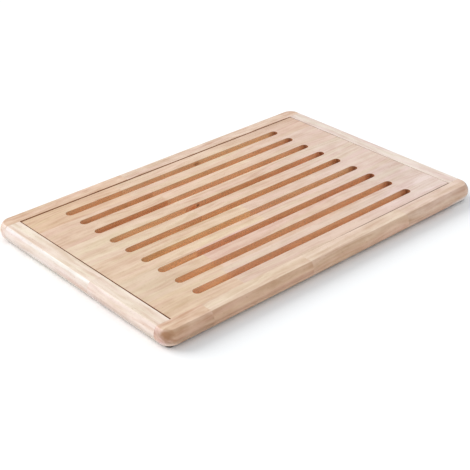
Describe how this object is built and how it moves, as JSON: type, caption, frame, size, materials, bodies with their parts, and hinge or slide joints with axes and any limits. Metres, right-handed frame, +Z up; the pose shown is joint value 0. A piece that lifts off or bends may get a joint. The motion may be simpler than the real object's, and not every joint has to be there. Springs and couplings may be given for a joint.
{
  "type": "slotted bread board",
  "caption": "Rectangular wooden bread board: a rail frame with a floor panel catches crumbs under a lift-out cutting insert with long parallel round-ended slots.",
  "frame": {"origin": "middle of the footprint, on the surface that the feet stand on", "axes": "+X along the slots and the long side, +Y to the back along the short side, +Z up, the way the insert lifts out"},
  "size_m": [0.475, 0.3236, 0.0225],
  "materials": {
    "rail_wood": "pale straight-grained hardwood, fine sanded and oiled",
    "insert_wood": "pale straight-grained hardwood, fine sanded and oiled",
    "panel_wood": "thin panel, sanded",
    "dowel_wood": "glued, unfinished",
    "foot_rubber": "matte black rubber"
  },
  "bodies": {
    "tray": {"front_rail_block_1": "rail_wood", "front_rail_block_2": "rail_wood", "front_rail_block_3": "rail_wood", "front_rail_block_4": "rail_wood", "back_rail_block_1": "rail_wood", "back_rail_block_2": "rail_wood", "left_rail_block_1": "rail_wood", "left_rail_block_2": "rail_wood", "right_rail": "rail_wood", "floor_panel": "panel_wood", "dowel_front_left_inner": "dowel_wood", "dowel_front_left_outer": "dowel_wood", "dowel_front_right_inner": "dowel_wood", "dowel_front_right_outer": "dowel_wood", "dowel_back_left_inner": "dowel_wood", "dowel_back_left_outer": "dowel_wood", "dowel_back_right_inner": "dowel_wood", "dowel_back_right_outer": "dowel_wood", "foot_front_left": "foot_rubber", "foot_front_right": "foot_rubber", "foot_back_left": "foot_rubber", "foot_back_right": "foot_rubber"},
    "insert": {"insert_stave_a_left": "insert_wood", "insert_stave_a_right": "insert_wood", "insert_stave_b_left": "insert_wood", "insert_stave_b_right": "insert_wood", "insert_stave_c_left": "insert_wood", "insert_stave_c_right": "insert_wood", "insert_stave_d_left": "insert_wood", "insert_stave_d_right": "insert_wood", "insert_stave_e_left": "insert_wood", "insert_stave_e_right": "insert_wood", "insert_stave_f_left": "insert_wood", "insert_stave_f_right": "insert_wood"}
  },
  "joints": [
    {"name": "insert_lift", "type": "slide", "parent": "tray", "child": "insert", "axis": [0, 0, 1], "range_m": [0, 0.05]}
  ]
}
